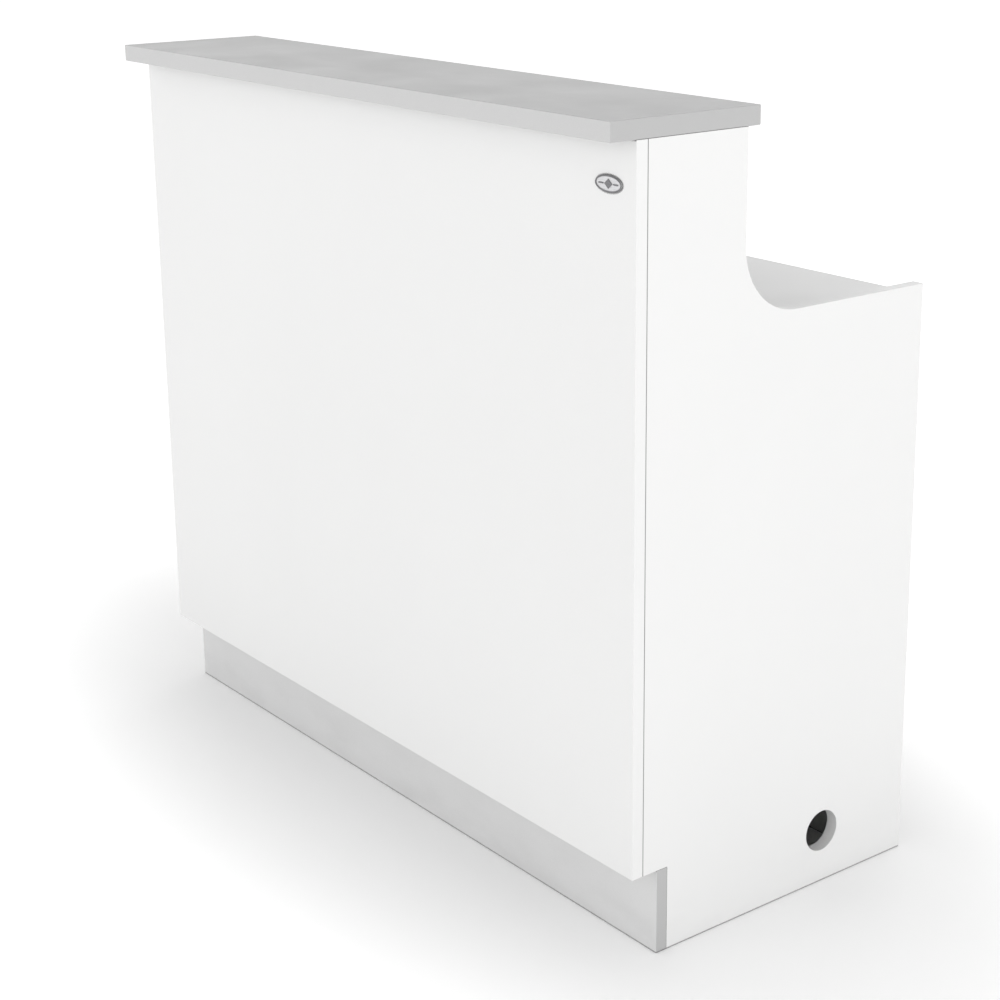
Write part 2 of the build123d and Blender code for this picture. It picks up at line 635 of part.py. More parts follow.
BADGE_X = 551.0
BADGE_Z = 1018.0
BADGE_HALF_W = 24.5
BADGE_HALF_H = 10.5
BADGE_T = 2.4
BADGE_RIM = 1.8
BADGE_SUNK = 0.9        # field below the rim
BADGE_RELIEF = 0.7      # ornament above the field


def badge_plate():
    """Oval plate: raised rim, sunk field, and a plain lozenge between two bars."""
    face = Plane(origin=(BADGE_X, FRONT_Y, BADGE_Z), x_dir=(1, 0, 0), z_dir=(0, -1, 0))
    plate = face * extrude(Ellipse(BADGE_HALF_W, BADGE_HALF_H), BADGE_T)
    plate = chamfer(plate.edges().group_by(Axis.Y)[0], 0.5)
    floor = face * Pos(0, 0, BADGE_T - BADGE_SUNK)
    plate -= floor * extrude(Ellipse(BADGE_HALF_W - BADGE_RIM, BADGE_HALF_H - BADGE_RIM), 1.0)
    lozenge = Polygon((-7, 0), (0, -6), (7, 0), (0, 6))
    bar, bar_x = SlotOverall(9.0, 1.8), 13.5
    plate += floor * extrude(lozenge, BADGE_RELIEF)
    for sign in (-1, 1):
        plate += floor * Pos(sign * bar_x, 0, 0) * extrude(bar, BADGE_RELIEF)
    return plate


# ---- everything, written out --------------------------------------------------------


def write_carcass():
    """Bore the boards for what they carry, and write them with their fittings."""
    boards = carcass()
    joints = side_fittings("left", -1) + side_fittings("right", 1)
    bore_boards(boards, joints)
    for name, x in (("right_side_panel", SIDE_X), ("right_upright", KNEE_X)):
        start = Vector(x - 1, FRONT_Y + CABLE_HOLE_Y, CABLE_HOLE_Z)
        boards[name] -= rod(start, X_AXIS, BOARD + 2, CABLE_HOLE_R)
    boards["right_side_panel"] -= shelf_pin_bores(SIDE_X, -1)
    boards["right_upright"] -= shelf_pin_bores(BAY_X, 1)
    boards["worktop"] -= tongue_slot()
    start = Vector(0, GROMMET_Y, UNDER_Z - 1)
    boards["worktop"] -= rod(start, Z_AXIS, TOP_BOARD + 2, GROMMET_R)
    for name, solid in boards.items():
        save(name, solid)
    save("cam_locks", Compound(children=[cam_solid(j) for j in joints]))
    save("cam_bolts", Compound(children=[bolt_solid(j) for j in joints]))
    save("dowels", Compound(children=[dowel_solid(j) for j in joints]))


def write_drawers():
    """Write the three drawers, their handles and their runners."""
    outer = []
    for index in range(len(DRAWERS)):
        name = f"drawer_{index + 1}"
        save(f"{name}_front", drawer_front(index))
        for piece, solid in drawer_box(index).items():
            save(f"{name}_{piece}", solid)
        save(f"{name}_handle", bow_handle(drawer_handle_centre(index), X_AXIS))
        for member in ("inner", "middle"):
            save(f"{name}_{member}_runners", Compound(children=runner_pair(index, member)))
        outer += runner_pair(index, "outer")
    save("outer_runners", Compound(children=outer))


def write_lock():
    """Write the drawer lock's pieces."""
    save("lock_housing", lock_housing())
    save("lock_plug", lock_plug())
    save("lock_tongue", lock_tongue())
    save("lock_key", lock_key())


def write_cupboard():
    """Write the door, its hinges, catch and shelf."""
    save("door_panel", door_panel())
    save("door_handle", bow_handle(DOOR_HANDLE, Z_AXIS))
    save("hinge_frame_leaves", Compound(children=[hinge_leaf(z, False) for z in HINGE_ZS]))
    save("hinge_door_leaves", Compound(children=[hinge_leaf(z, True) for z in HINGE_ZS]))
    save("hinge_pins", Compound(children=[hinge_pin(z) for z in HINGE_ZS]))
    save("magnetic_catch", catch_body())
    save("catch_plate", catch_plate())
    save("adjustable_shelf", shelf())
    pins = [shelf_pin(start, out) for start, out in shelf_pin_places()]
    save("shelf_pins", Compound(children=pins))


def main():
    os.makedirs("parts", exist_ok=True)
    write_carcass()
    write_drawers()
    write_lock()
    write_cupboard()
    save("grommet_sleeve", grommet_sleeve())
    save("grommet_cap", grommet_cap())
    save("badge_plate", badge_plate())


main()
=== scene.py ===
import json
import math

import bmesh
import bpy
from mathutils import Matrix, Vector


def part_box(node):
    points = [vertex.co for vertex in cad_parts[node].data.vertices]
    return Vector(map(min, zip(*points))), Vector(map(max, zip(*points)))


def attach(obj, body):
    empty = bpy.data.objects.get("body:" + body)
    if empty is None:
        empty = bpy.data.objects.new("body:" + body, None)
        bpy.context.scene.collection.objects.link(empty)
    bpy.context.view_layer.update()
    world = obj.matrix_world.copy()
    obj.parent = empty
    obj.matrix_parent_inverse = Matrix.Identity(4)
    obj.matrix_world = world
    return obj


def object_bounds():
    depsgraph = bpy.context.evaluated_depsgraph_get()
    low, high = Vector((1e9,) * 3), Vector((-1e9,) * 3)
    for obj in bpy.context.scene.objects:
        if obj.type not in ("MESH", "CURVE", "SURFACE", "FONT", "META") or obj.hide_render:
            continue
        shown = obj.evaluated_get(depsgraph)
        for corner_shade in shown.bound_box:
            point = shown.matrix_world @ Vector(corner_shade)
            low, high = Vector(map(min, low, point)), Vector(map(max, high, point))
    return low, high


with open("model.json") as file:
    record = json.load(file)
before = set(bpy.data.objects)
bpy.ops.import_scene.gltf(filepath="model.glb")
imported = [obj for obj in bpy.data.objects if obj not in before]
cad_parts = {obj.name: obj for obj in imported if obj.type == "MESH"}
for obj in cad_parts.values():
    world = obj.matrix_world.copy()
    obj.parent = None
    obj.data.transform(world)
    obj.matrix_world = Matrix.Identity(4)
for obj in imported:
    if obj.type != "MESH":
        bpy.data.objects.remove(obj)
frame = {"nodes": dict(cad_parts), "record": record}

CAD_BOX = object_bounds()
MM = 0.001
NODES = frame["nodes"]

# ---- camera: place, aim and lens that show the counter as the customer sees it -------
CAMERA_PLACE = Vector((2.374, -1.785, 1.412))
CAMERA_YAW = math.radians(-51.61)        # from +Y, towards +X
CAMERA_PITCH = math.radians(-15.48)
CAMERA_ROLL = math.radians(-0.32)
CAMERA_LENS = 72.9
CAMERA_SHIFT = (-0.05, -0.10)

# ---- boards --------------------------------------------------------------------------
EDGE_REACH = 1.3 * MM       # width of the worn edge band
JOINT_SHADE_REACH = 2.6 * MM      # painted shade: depth at which a joint is fully dark
SEAM_SHADE_HALF_W = 0.5 * MM      # half width of the painted shade line along the front panel's joint
DIRT_HEIGHT = 0.11          # where the floor's dirt fades out

# ---- fittings: sizes, and places on the CAD nodes that carry them --------------------
SHARP_ANGLE = math.radians(35)
CROSS_DEPTH = 0.68          # how far a cross recess pulls in between its arms
HANDLE_CENTRES = 128 * MM
HANDLE_SCREW = (4.3 * MM, 2.5 * MM)      # head radius and height
HINGE_HALF_H = 30 * MM
HINGE_SCREW_Y = 13 * MM     # behind the leaf's free edge
HINGE_SCREW_RISE = 18 * MM
HINGE_SCREW = (2.15 * MM, 1.0 * MM)      # head radius and depth
LEAF_FACE = 0.45 * MM       # from the pin's axis plane to the screw heads
INNER_WEB = 5.0 * MM        # inner member's web, behind its lips
RUNNER_SCREW = (3.4 * MM, 1.6 * MM)      # head radius and height
RUNNER_SCREW_YS = (35 * MM, 163 * MM, 323 * MM)    # behind the member's front end
CAGE_BACK = 195 * MM        # ends of a ball row, behind the runner's front end
CAGE_FRONT = 15 * MM
CAGE_PAST = 6 * MM          # how far a cage reaches past its end balls
CAGE_HALF_H = 0.25 * MM
CAGE_SOFTEN = 0.1 * MM
BALLS = 14
BALL_RINGS = 8
# tag, distance from the runner's wall, distance above and below its middle, ball radius,
# half the cage's width in ball radii
BALL_ROWS = (("outer", 7.2 * MM, 19.9 * MM, 1.35 * MM, 1.5),
             ("inner", 9.0 * MM, 15.4 * MM, 1.8 * MM, 1.35))

# ---- light ---------------------------------------------------------------------------
HORIZON = 1.22              # strengths of the surround
ZENITH = 0.51
FLOOR_GLOW = 0.30           # painted light: the far floor glows up to the white of the surround
GLOW_FROM = 1.0             # where the lift starts and is full, from the counter's middle,
GLOW_TO = 2.6               # in half sizes of the counter
FLOOR_SIZE = 160.0
LAMP_SIZE = 2.4


# ---- node helpers --------------------------------------------------------------------

def add(tree, kind, inputs=None, **settings):
    """One shader node. An input is a value, or a socket to link from."""
    node = tree.nodes.new(kind)
    for key, value in settings.items():
        setattr(node, key, value)
    for key, value in (inputs or {}).items():
        if isinstance(value, bpy.types.NodeSocket):
            tree.links.new(value, node.inputs[key])
        else:
            node.inputs[key].default_value = value
    return node


def place(tree, scale=(1, 1, 1)):
    """Object coordinates in metres, stretched by a scale."""
    coords = add(tree, "ShaderNodeTexCoord")
    if tuple(scale) == (1, 1, 1):
        return coords.outputs["Object"]
    mapping = add(tree, "ShaderNodeMapping", {"Vector": coords.outputs["Object"], "Scale": scale})
    return mapping.outputs["Vector"]


def noise(tree, scale, detail=3.0, stretch=(1, 1, 1), roughness=0.5, distortion=0.0):
    """Noise from 0 to 1, at a scale in cells per metre."""
    node = add(tree, "ShaderNodeTexNoise", {
        "Vector": place(tree, stretch), "Scale": scale, "Detail": detail,
        "Roughness": roughness, "Distortion": distortion})
    return node.outputs["Fac"]


def remap(tree, value, low, high, to_low=0.0, to_high=1.0):
    """A value moved from one range to another, clamped."""
    node = add(tree, "ShaderNodeMapRange", {
        "Value": value, "From Min": low, "From Max": high, "To Min": to_low, "To Max": to_high})
    return node.outputs["Result"]


def math_node(tree, operation, first, second):
    """Arithmetic on two values."""
    node = add(tree, "ShaderNodeMath", {0: first, 1: second}, operation=operation)
    return node.outputs["Value"]


def blend_colour(tree, amount, first, second, how="MIX"):
    """Two colours mixed by an amount."""
    node = add(tree, "ShaderNodeMix", {"Factor": amount}, data_type="RGBA", blend_type=how)
    for slot, value in ((6, first), (7, second)):
        if isinstance(value, bpy.types.NodeSocket):
            tree.links.new(value, node.inputs[slot])
        else:
            node.inputs[slot].default_value = (*value[:3], 1.0)
    return node.outputs[2]


def bump(tree, height, strength, distance, normal=None):
    """A bump over an optional earlier one."""
    inputs = {"Height": height, "Strength": strength, "Distance": distance}
    if normal is not None:
        inputs["Normal"] = normal
    return add(tree, "ShaderNodeBump", inputs).outputs["Normal"]


def closeness(tree, reach, inside):
    """1 close to an outer edge (inside) or deep in a joint (outside), 0 on open faces."""
    node = add(tree, "ShaderNodeAmbientOcclusion", {"Distance": reach},
               inside=inside, only_local=inside, samples=4 if inside else 6)
    return math_node(tree, "SUBTRACT", 1.0, node.outputs["AO"])


def height_above_floor(tree):
    """Height in metres, on a piece at rest."""
    split = add(tree, "ShaderNodeSeparateXYZ", {"Vector": place(tree)})
    return split.outputs["Z"]


def facing(tree, axis):
    """1 on the faces that look along one axis of the frame, either way, and 0 elsewhere."""
    coords = add(tree, "ShaderNodeTexCoord")
    split = add(tree, "ShaderNodeSeparateXYZ", {"Vector": coords.outputs["Normal"]})
    along = math_node(tree, "ABSOLUTE", split.outputs[axis], 0.0)
    return remap(tree, along, 0.75, 0.95)


def panel_seam_shade(tree):
    """Mask of a painted shade line: 1 along the joint between the front panel and the side panels,
    on their outer faces.
    """
    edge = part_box("front_panel")[1]
    split = add(tree, "ShaderNodeSeparateXYZ", {"Vector": place(tree)})
    away = math_node(tree, "SUBTRACT", split.outputs["Y"], edge.y)
    distance = math_node(tree, "ABSOLUTE", away, 0.0)
    near = remap(tree, distance, SEAM_SHADE_HALF_W, 2 * SEAM_SHADE_HALF_W, 1.0, 0.0)
    side = math_node(tree, "ABSOLUTE", split.outputs["X"], 0.0)
    return math_node(tree, "MULTIPLY", near, remap(tree, side, edge.x - 2 * MM, edge.x - 1 * MM))


def start(name):
    """A material with an empty principled surface: (material, tree, surface)."""
    material = bpy.data.materials.new(name)
    material.use_nodes = True
    tree = material.node_tree
    return material, tree, tree.nodes["Principled BSDF"]


def connect(tree, surface, colour=None, roughness=None, normal=None):
    """Links the surface's varying inputs."""
    for socket, value in (("Base Color", colour), ("Roughness", roughness), ("Normal", normal)):
        if value is not None:
            tree.links.new(value, surface.inputs[socket])


# ---- materials -----------------------------------------------------------------------

def laminate(name, colour, rough=(0.34, 0.46), pearl=0.12, fleck=0.02, foot_dirt=0.0, edge=0.05,
             facing_shade=(), seam_shade=0.0):
    """Melamine-faced board: pearl texture, wiped streaks, worn edges, painted light and shade.

    The tones by facing are painted light and shade: for the faces that look along Y and along X,
    relative to the top. The seam strength is that of a painted shade line along the front panel's
    joint.
    """
    material, tree, surface = start(name)
    cloud = remap(tree, noise(tree, 2.2, 4.0), 0.3, 0.7, 0.985, 1.0)
    speck = remap(tree, noise(tree, 950.0, 2.0), 0.25, 0.75, 1.0 - fleck, 1.0)
    tone = math_node(tree, "MULTIPLY", cloud, speck)
    edge_mask = remap(tree, closeness(tree, EDGE_REACH, True), 0.25, 0.8, 0.0, edge)
    # painted shade: darker deep in joints and corners, where other surfaces come within reach
    joint_shade = remap(tree, closeness(tree, JOINT_SHADE_REACH, False), 0.02, 0.24, 0.0, 0.92)
    base = blend_colour(tree, 1.0, colour, tone, "MULTIPLY")
    # painted light and shade: faces that look along Y or along X are made lighter or darker, as
    # light would fall on them
    for axis, facing_tone in zip("YX", facing_shade):
        base = blend_colour(tree, facing(tree, axis), base, (facing_tone, facing_tone, facing_tone), "MULTIPLY")
    base = blend_colour(tree, edge_mask, base, [c * 0.55 for c in colour])
    base = blend_colour(tree, joint_shade, base, [c * 0.18 for c in colour])
    # painted shade: a dark line along the front panel's joint with the side panels
    if seam_shade:
        base = blend_colour(tree, math_node(tree, "MULTIPLY", panel_seam_shade(tree), seam_shade), base,
                            [c * 0.3 for c in colour])
    if foot_dirt:
        low = remap(tree, height_above_floor(tree), 0.0, DIRT_HEIGHT, 1.0, 0.0)
        smear = remap(tree, noise(tree, 9.0, 5.0, (1, 1, 2.5)), 0.42, 0.75)
        dirt = math_node(tree, "MULTIPLY", math_node(tree, "MULTIPLY", low, smear), foot_dirt)
        base = blend_colour(tree, dirt, base, [c * 0.55 for c in colour])
    wipe = remap(tree, noise(tree, 7.0, 5.0, (1.0, 1.0, 0.25), 0.55, 0.4), 0.3, 0.7, *rough)
    hair = remap(tree, noise(tree, 60.0, 2.0, (0.12, 4.0, 4.0)), 0.62, 0.72, 0.0, -0.05)
    roughness = math_node(tree, "ADD", wipe, hair)
    skin = bump(tree, noise(tree, 620.0, 2.0), pearl, 0.25 * MM)
    skin = bump(tree, noise(tree, 14.0, 2.0), 0.05, 1.0 * MM, skin)
    connect(tree, surface, base, roughness, skin)
    surface.inputs["Specular IOR Level"].default_value = 0.32
    return material


def metal(name, colour, rough, stretch=(1, 1, 1), cloud=0.06, grain=0.06, aniso=0.0):
    """Metal with a grain along one direction, cloudy tone and painted shade in crevices."""
    material, tree, surface = start(name)
    tone = remap(tree, noise(tree, 45.0, 4.0), 0.3, 0.7, 1.0 - cloud, 1.0)
    lines = noise(tree, 900.0, 3.0, stretch)
    base = blend_colour(tree, 1.0, colour, tone, "MULTIPLY")
    dull = remap(tree, lines, 0.3, 0.7, 0.0, 0.12)
    base = blend_colour(tree, dull, base, [c * 0.7 for c in colour])
    # painted shade: darker in crevices, from ambient occlusion
    crevice_shade = remap(tree, closeness(tree, 1.5 * MM, False), 0.3, 1.0, 0.0, 0.55)
    base = blend_colour(tree, crevice_shade, base, [c * 0.25 for c in colour])
    wear = remap(tree, noise(tree, 130.0, 4.0), 0.3, 0.7, -0.04, 0.05)
    roughness = math_node(tree, "ADD", remap(tree, lines, 0.3, 0.7, *rough), wear)
    connect(tree, surface, base, roughness, bump(tree, lines, grain, 0.05 * MM))
    surface.inputs["Metallic"].default_value = 1.0
    surface.inputs["Anisotropic"].default_value = aniso
    return material


def plated_steel(name, colour):
    """Zinc-plated sheet: faint crystal patches over a rolled grain, with painted shade in crevices.
    """
    material, tree, surface = start(name)
    cells = add(tree, "ShaderNodeTexVoronoi", {"Vector": place(tree), "Scale": 160.0})
    patch = add(tree, "ShaderNodeSeparateColor", {"Color": cells.outputs["Color"]}).outputs["Red"]
    crystal = remap(tree, patch, 0.0, 1.0, 0.0, 0.22)
    base = blend_colour(tree, crystal, colour, [c * 0.72 for c in colour])
    grain = noise(tree, 400.0, 3.0, (1.0, 0.05, 1.0))
    # painted shade: darker in crevices, from ambient occlusion
    crevice_shade = remap(tree, closeness(tree, 2.5 * MM, False), 0.3, 1.0, 0.0, 0.5)
    base = blend_colour(tree, crevice_shade, base, [c * 0.3 for c in colour])
    roughness = math_node(tree, "ADD", remap(tree, patch, 0.0, 1.0, 0.30, 0.42),
                          remap(tree, grain, 0.3, 0.7, -0.04, 0.06))
    connect(tree, surface, base, roughness, bump(tree, grain, 0.08, 0.05 * MM))
    surface.inputs["Metallic"].default_value = 1.0
    return material


def moulded_plastic(name, colour, rough=(0.38, 0.52), grain=0.22):
    """Moulded plastic with a fine spark-eroded grain and rubbed edges."""
    material, tree, surface = start(name)
    tone = remap(tree, noise(tree, 70.0, 3.0), 0.3, 0.7, 0.0, 0.25)
    rubbed = remap(tree, closeness(tree, 0.8 * MM, True), 0.3, 0.9, 0.0, 0.35)
    base = blend_colour(tree, tone, colour, [c * 0.8 for c in colour])
    base = blend_colour(tree, rubbed, base, [min(1.0, c * 1.6 + 0.02) for c in colour])
    roughness = remap(tree, noise(tree, 90.0, 4.0), 0.3, 0.7, *rough)
    cells = add(tree, "ShaderNodeTexVoronoi", {"Vector": place(tree), "Scale": 1500.0})
    connect(tree, surface, base, roughness, bump(tree, cells.outputs["Distance"], grain, 0.08 * MM))
    return material


def beech(name):
    """Turned beech: rays and growth lines along the dowel."""
    material, tree, surface = start(name)
    rings = add(tree, "ShaderNodeTexWave", {
        "Vector": place(tree), "Scale": 180.0, "Distortion": 4.0, "Detail": 3.0}).outputs["Fac"]
    rays = noise(tree, 500.0, 3.0, (1.0, 1.0, 0.3))
    growth = remap(tree, rings, 0.0, 1.0)
    base = blend_colour(tree, growth, (0.62, 0.40, 0.22), (0.74, 0.53, 0.33))
    base = blend_colour(tree, remap(tree, rays, 0.55, 0.7, 0.0, 0.5), base, (0.42, 0.25, 0.13))
    connect(tree, surface, base, remap(tree, rays, 0.3, 0.7, 0.5, 0.7),
            bump(tree, rays, 0.2, 0.1 * MM))
    return material


def hardboard(name, colour):
    """White-faced hardboard with a faint linen print and painted shade in its corners."""
    material, tree, surface = start(name)
    threads = {"Scale": 300.0, "Distortion": 0.6}
    warp = add(tree, "ShaderNodeTexWave", {"Vector": place(tree), **threads},
               bands_direction="X").outputs["Fac"]
    weft = add(tree, "ShaderNodeTexWave", {"Vector": place(tree), **threads},
               bands_direction="Y").outputs["Fac"]
    linen = math_node(tree, "MULTIPLY", warp, weft)
    tone = remap(tree, noise(tree, 5.0, 4.0), 0.3, 0.7, 0.96, 1.0)
    base = blend_colour(tree, 1.0, colour, tone, "MULTIPLY")
    weave = remap(tree, linen, 0.0, 1.0, 0.0, 0.07)
    base = blend_colour(tree, weave, base, [c * 0.7 for c in colour])
    # painted shade: darker in inside corners, from ambient occlusion
    corner_shade = remap(tree, closeness(tree, 6.0 * MM, False), 0.3, 1.0, 0.0, 0.2)
    base = blend_colour(tree, corner_shade, base, [c * 0.4 for c in colour])
    connect(tree, surface, base, remap(tree, noise(tree, 30.0, 4.0), 0.3, 0.7, 0.45, 0.6),
            bump(tree, linen, 0.1, 0.1 * MM))
    return material


def badge_metal(name):
    """Satin badge: dark rim and ornament, light sunk field, by depth behind the rim's top,
    and painted shade in its recesses.
    """
    material, tree, surface = start(name)
    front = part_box("badge_plate")[0].y
    split = add(tree, "ShaderNodeSeparateXYZ", {"Vector": place(tree)})
    depth = math_node(tree, "SUBTRACT", split.outputs["Y"], front)
    field = remap(tree, depth, 0.5 * MM, 0.8 * MM)
    brushed = noise(tree, 1400.0, 3.0, (0.06, 1.0, 1.0))
    base = blend_colour(tree, field, (0.17, 0.17, 0.175), (0.66, 0.66, 0.67))
    base = blend_colour(tree, remap(tree, brushed, 0.35, 0.7, 0.0, 0.3), base, (0.34, 0.34, 0.35))
    # painted shade: darker in the badge's recesses, from ambient occlusion
    crevice_shade = remap(tree, closeness(tree, 0.9 * MM, False), 0.2, 0.9, 0.0, 0.7)
    base = blend_colour(tree, crevice_shade, base, (0.05, 0.05, 0.05))
    connect(tree, surface, base, remap(tree, brushed, 0.3, 0.7, 0.30, 0.45),
            bump(tree, brushed, 0.1, 0.04 * MM))
    surface.inputs["Metallic"].default_value = 0.85
    return material


def make_materials():
    """One material for each slot of the record."""
    white = (0.758, 0.758, 0.755)
    return {
        "white_board": laminate("white_board", white, foot_dirt=0.10, seam_shade=0.8),
        # the ledge's and the kick's tones by facing are painted light and shade: lighter fronts,
        # darker ends
        "ledge_laminate": laminate("ledge_laminate", (0.480, 0.480, 0.480), (0.36, 0.5), 0.2, 0.05,
                                   facing_shade=(1.137, 0.941)),
        "kick_laminate": laminate("kick_laminate", (0.648, 0.648, 0.648), (0.38, 0.55), 0.2, 0.05,
                                  foot_dirt=0.2, facing_shade=(1.0, 0.70)),
        "drawer_board": laminate("drawer_board", (0.80, 0.80, 0.79), (0.42, 0.55), 0.2),
        "hardboard": hardboard("hardboard", (0.78, 0.78, 0.77)),
        "beech": beech("beech"),
        "zinc_steel": plated_steel("zinc_steel", (0.62, 0.64, 0.66)),
        "cam_zinc": metal("cam_zinc", (0.52, 0.53, 0.55), (0.38, 0.5), cloud=0.2, grain=0.2),
        "hinge_steel": metal("hinge_steel", (0.66, 0.66, 0.67), (0.24, 0.36), (1, 1, 0.05)),
        "satin_nickel": metal("satin_nickel", (0.60, 0.58, 0.55), (0.26, 0.38), (0.04, 1, 1),
                              aniso=0.4),
        "lock_chrome": metal("lock_chrome", (0.74, 0.74, 0.76), (0.10, 0.18),
                             cloud=0.03, grain=0.03),
        "key_steel": metal("key_steel", (0.66, 0.64, 0.60), (0.20, 0.30), (1, 0.06, 1)),
        "badge_metal": badge_metal("badge_metal"),
        "black_plastic": moulded_plastic("black_plastic", (0.022, 0.022, 0.024)),
        "catch_plastic": moulded_plastic("catch_plastic", (0.72, 0.72, 0.70), grain=0.1),
    }


def dress(materials):
    """Every CAD node gets its slot's material."""
    for row in frame["record"]["subparts"]:
        node = NODES[row["node"]]
        node.data.materials.clear()
        node.data.materials.append(materials[row["material_slot"]])


# ---- fittings ------------------------------------------------------------------------

def finish_piece(name, mesh, slot, body, materials):
    """A bmesh becomes a piece with its finish and its body."""
    bmesh.ops.recalc_face_normals(mesh, faces=mesh.faces)
    for face in mesh.faces:
        face.smooth = True
    for edge in mesh.edges:
        edge.smooth = len(edge.link_faces) == 2 and edge.calc_face_angle(0.0) < SHARP_ANGLE
    built = bpy.data.meshes.new(name)
    mesh.to_mesh(built)
    mesh.free()
    built.materials.append(materials[slot])
    piece = bpy.data.objects.new(name, built)
    bpy.context.scene.collection.objects.link(piece)
    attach(piece, body)


def lathe(mesh, loops, matrix, steps=48):
    """A closed skin through loops of (radius, height, cross), capped at both ends.

    cross pulls a loop in between four arms, from 0 (round) to 1 (a cross).
    """
    rings = []
    for radius, height, cross in loops:
        ring = []
        for step in range(steps):
            angle = 2 * math.pi * step / steps
            between = 1 - abs(math.cos(2 * angle)) ** 3
            reach = radius * (1 - cross * CROSS_DEPTH * between)
            point = Vector((reach * math.cos(angle), reach * math.sin(angle), height))
            ring.append(mesh.verts.new(matrix @ point))
        rings.append(ring)
    mesh.faces.new(list(reversed(rings[0])))
    for low, high in zip(rings, rings[1:]):
        for step in range(steps):
            after = (step + 1) % steps
            mesh.faces.new((low[step], low[after], high[after], high[step]))
    mesh.faces.new(rings[-1])


def standing(at, direction):
    """The placement at a point with its Z axis along a direction."""
    return Matrix.Translation(at) @ direction.to_track_quat("Z", "Y").to_matrix().to_4x4()


def pan_head(mesh, at, direction, radius, height):
    """A cross-recessed pan head that stands on a face."""
    lathe(mesh, [
        (radius * 0.95, 0.0, 0.0), (radius, height * 0.2, 0.0), (radius * 0.97, height * 0.6, 0.0),
        (radius * 0.84, height * 0.88, 0.0), (radius * 0.62, height, 0.0),
        (radius * 0.52, height, 1.0), (radius * 0.34, height * 0.35, 1.0)],
        standing(at, direction))


def sunk_head(mesh, at, direction, radius, depth):
    """A cross-recessed head that lies flush in its hole."""
    lathe(mesh, [
        (radius, -depth, 0.0), (radius, -depth * 0.12, 0.0), (radius * 0.94, 0.0, 0.0),
        (radius * 0.66, 0.0, 0.0), (radius * 0.58, -depth * 0.08, 1.0),
        (radius * 0.36, -depth * 0.65, 1.0)],
        standing(at, direction))


def handle_screws(materials):
    """Two pan heads on the inner face behind each handle."""
    owners = [(f"drawer_{k}_handle", f"drawer_{k}_front", f"drawer_{k}") for k in (1, 2, 3)]
    owners.append(("door_handle", "door_panel", "door"))
    for handle, panel, body in owners:
        low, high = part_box(handle)
        lying = high.x - low.x > high.z - low.z
        along = Vector((1, 0, 0)) if lying else Vector((0, 0, 1))
        middle = (low + high) / 2
        middle.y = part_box(panel)[0].y
        mesh = bmesh.new()
        for side in (-1, 1):
            at = middle + along * side * HANDLE_CENTRES / 2
            pan_head(mesh, at, Vector((0, -1, 0)), *HANDLE_SCREW)
        finish_piece(handle + "_screws", mesh, "zinc_steel", body, materials)


def hinge_screws(materials):
    """Four flush heads in the frame leaves and four in the door leaves."""
    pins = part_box("hinge_pins")
    axis_x = pins[0].x / 2 + pins[1].x / 2
    for node, body, outward in (("hinge_frame_leaves", "counter", -1),
                                ("hinge_door_leaves", "door", 1)):
        low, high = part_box(node)
        face_x = axis_x - outward * LEAF_FACE
        mesh = bmesh.new()
        for middle_z in (low.z + HINGE_HALF_H, high.z - HINGE_HALF_H):
            for rise in (-HINGE_SCREW_RISE, HINGE_SCREW_RISE):
                at = Vector((face_x, low.y + HINGE_SCREW_Y, middle_z + rise))
                sunk_head(mesh, at, Vector((outward, 0, 0)), *HINGE_SCREW)
        finish_piece(node + "_screws", mesh, "zinc_steel", body, materials)


def ball_row(mesh, x, z, y_from, y_to, radius):
    """A row of bearing balls along Y."""
    tilts = [math.pi * (ring + 0.5) / BALL_RINGS for ring in range(BALL_RINGS)]
    loops = [(radius * math.sin(t), -radius * math.cos(t), 0.0) for t in tilts]
    for step in range(BALLS):
        y = y_from + (y_to - y_from) * step / (BALLS - 1)
        lathe(mesh, loops, Matrix.Translation((x, y, z)), 2 * BALL_RINGS)


def strip(mesh, low, high, soften):
    """A thin bar between two corners with softened edges."""
    made = bmesh.ops.create_cube(mesh, size=1.0)
    size = high - low
    matrix = Matrix.Translation((low + high) / 2) @ Matrix.Diagonal((*size, 1.0))
    bmesh.ops.transform(mesh, verts=made["verts"], matrix=matrix)
    edges = list({edge for vert in made["verts"] for edge in vert.link_edges})
    bmesh.ops.bevel(mesh, geom=edges, offset=soften, segments=2, affect="EDGES")


def runner_balls(materials):
    """Ball rows and their cages, between the members of each runner.

    The rows between the outer and middle members stay with the counter, and those between
    the middle and inner members ride on the middle one, where both members always overlap.
    """
    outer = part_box("outer_runners")
    for k in (1, 2, 3):
        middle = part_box(f"drawer_{k}_middle_runners")
        centre_z = (middle[0].z + middle[1].z) / 2
        front = outer[1].y
        for tag, offset, rise, radius, width in BALL_ROWS:
            body = "counter" if tag == "outer" else f"runner_{k}"
            half_x = radius * width
            balls = bmesh.new()
            cage = bmesh.new()
            for wall_x, inward in ((outer[0].x, 1), (outer[1].x, -1)):
                x = wall_x + inward * offset
                for sign in (-1, 1):
                    z = centre_z + sign * rise
                    ball_row(balls, x, z, front - CAGE_BACK, front - CAGE_FRONT, radius)
                    low = Vector((x - half_x, front - CAGE_BACK - CAGE_PAST, z - CAGE_HALF_H))
                    high = Vector((x + half_x, front - CAGE_FRONT + CAGE_PAST, z + CAGE_HALF_H))
                    strip(cage, low, high, CAGE_SOFTEN)
            finish_piece(f"runner_{k}_{tag}_balls", balls, "lock_chrome", body, materials)
            finish_piece(f"runner_{k}_{tag}_cage", cage, "black_plastic", body, materials)


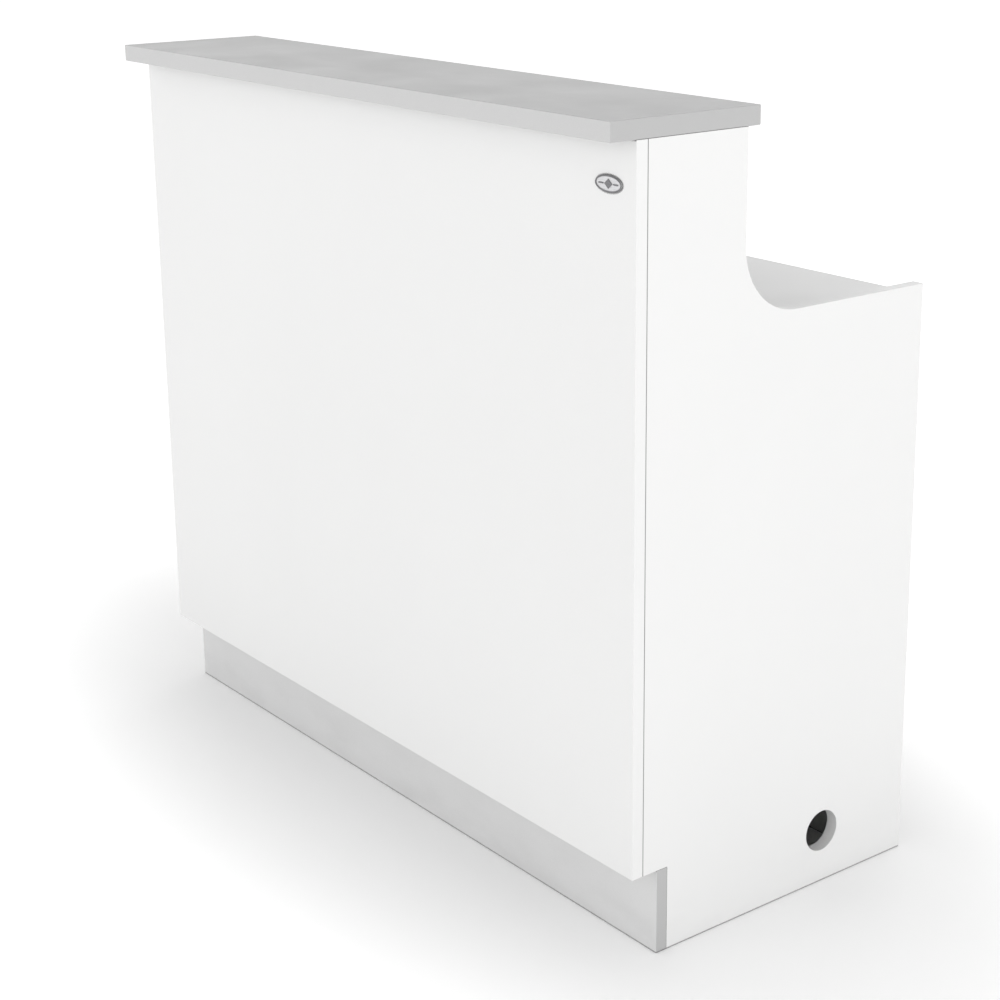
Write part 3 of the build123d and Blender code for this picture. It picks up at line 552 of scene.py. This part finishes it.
def runner_screws(materials):
    """Pan heads in the inner runner members, which hold them to the drawer's sides."""
    for k in (1, 2, 3):
        low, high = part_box(f"drawer_{k}_inner_runners")
        centre_z = (low.z + high.z) / 2
        mesh = bmesh.new()
        for face_x, outward in ((low.x, -1), (high.x, 1)):
            web_x = face_x - outward * INNER_WEB
            for back in RUNNER_SCREW_YS:
                at = Vector((web_x, high.y - back, centre_z))
                pan_head(mesh, at, Vector((outward, 0, 0)), *RUNNER_SCREW)
        finish_piece(f"drawer_{k}_runner_screws", mesh, "zinc_steel", f"drawer_{k}", materials)


# ---- stage, light and camera ---------------------------------------------------------

def make_floor():
    """A plain pale floor, large enough to reach the horizon in every view, glowing as painted
    light.
    """
    bpy.ops.mesh.primitive_grid_add(x_subdivisions=8, y_subdivisions=8, size=FLOOR_SIZE)
    floor = bpy.context.object
    floor.name = "floor"
    material, tree, surface = start("pale_floor")
    tone = remap(tree, noise(tree, 1.5, 3.0), 0.3, 0.7, 0.96, 0.97)
    connect(tree, surface, blend_colour(tree, 1.0, (1.0, 1.0, 1.0), tone, "MULTIPLY"),
            remap(tree, noise(tree, 12.0, 3.0), 0.3, 0.7, 0.75, 0.85))
    reach = (CAD_BOX[1] - CAD_BOX[0]) / 2
    # painted light: the floor glows more with distance from the counter, which leaves it darker
    # round the counter
    spread = add(tree, "ShaderNodeVectorMath",
                 {0: place(tree, (1 / reach.x, 1 / reach.y, 0.0))}, operation="LENGTH")
    glow = add(tree, "ShaderNodeMapRange", {
        "Value": spread.outputs["Value"], "From Min": GLOW_FROM, "From Max": GLOW_TO,
        "To Max": FLOOR_GLOW}, interpolation_type="SMOOTHERSTEP")
    surface.inputs["Emission Color"].default_value = (1.0, 1.0, 1.0, 1.0)
    tree.links.new(glow.outputs["Result"], surface.inputs["Emission Strength"])
    surface.inputs["Specular IOR Level"].default_value = 0.1
    floor.data.materials.append(material)


def make_world():
    """An even white surround, a little dimmer overhead than at the horizon."""
    world = bpy.data.worlds.new("studio")
    bpy.context.scene.world = world
    world.use_nodes = True
    tree = world.node_tree
    coords = add(tree, "ShaderNodeTexCoord")
    up = add(tree, "ShaderNodeSeparateXYZ", {"Vector": coords.outputs["Generated"]}).outputs["Z"]
    strength = remap(tree, up, 0.30, 0.95, HORIZON, ZENITH)
    tree.links.new(strength, tree.nodes["Background"].inputs["Strength"])
    tree.nodes["Background"].inputs["Color"].default_value = (1.0, 1.0, 1.0, 1.0)


def area_light(name, position, target, power):
    """A soft square lamp that looks at a point."""
    data = bpy.data.lights.new(name, "AREA")
    data.energy = power
    data.size = LAMP_SIZE
    lamp = bpy.data.objects.new(name, data)
    bpy.context.scene.collection.objects.link(lamp)
    lamp.location = position
    lamp.rotation_euler = (Vector(target) - Vector(position)).to_track_quat("-Z", "Y").to_euler()


def make_lights():
    """Soft light from the right, and weaker ones from the front and the back."""
    middle = (CAD_BOX[0] + CAD_BOX[1]) / 2
    area_light("key", (4.2, -0.6, 1.7), middle, 25.0)
    area_light("fill", (-1.2, -4.2, 1.9), middle, 15.0)
    area_light("back", (-1.5, 4.0, 2.2), middle, 12.0)


def make_camera():
    """The customer's viewing angle, with a shift small enough to keep other views framed."""
    data = bpy.data.cameras.new("camera")
    data.lens = CAMERA_LENS
    data.sensor_width = 36.0
    data.shift_x, data.shift_y = CAMERA_SHIFT
    data.clip_end = 200.0
    camera = bpy.data.objects.new("camera", data)
    bpy.context.scene.collection.objects.link(camera)
    turn = Matrix.Rotation(-CAMERA_YAW, 4, "Z")
    tilt = Matrix.Rotation(math.pi / 2 + CAMERA_PITCH, 4, "X")
    roll = Matrix.Rotation(CAMERA_ROLL, 4, "Z")
    camera.matrix_world = Matrix.Translation(CAMERA_PLACE) @ turn @ tilt @ roll
    bpy.context.scene.camera = camera


bpy.context.scene.view_settings.view_transform = "Standard"
materials = make_materials()
dress(materials)
handle_screws(materials)
hinge_screws(materials)
runner_balls(materials)
runner_screws(materials)
make_floor()
make_world()
make_lights()
make_camera()
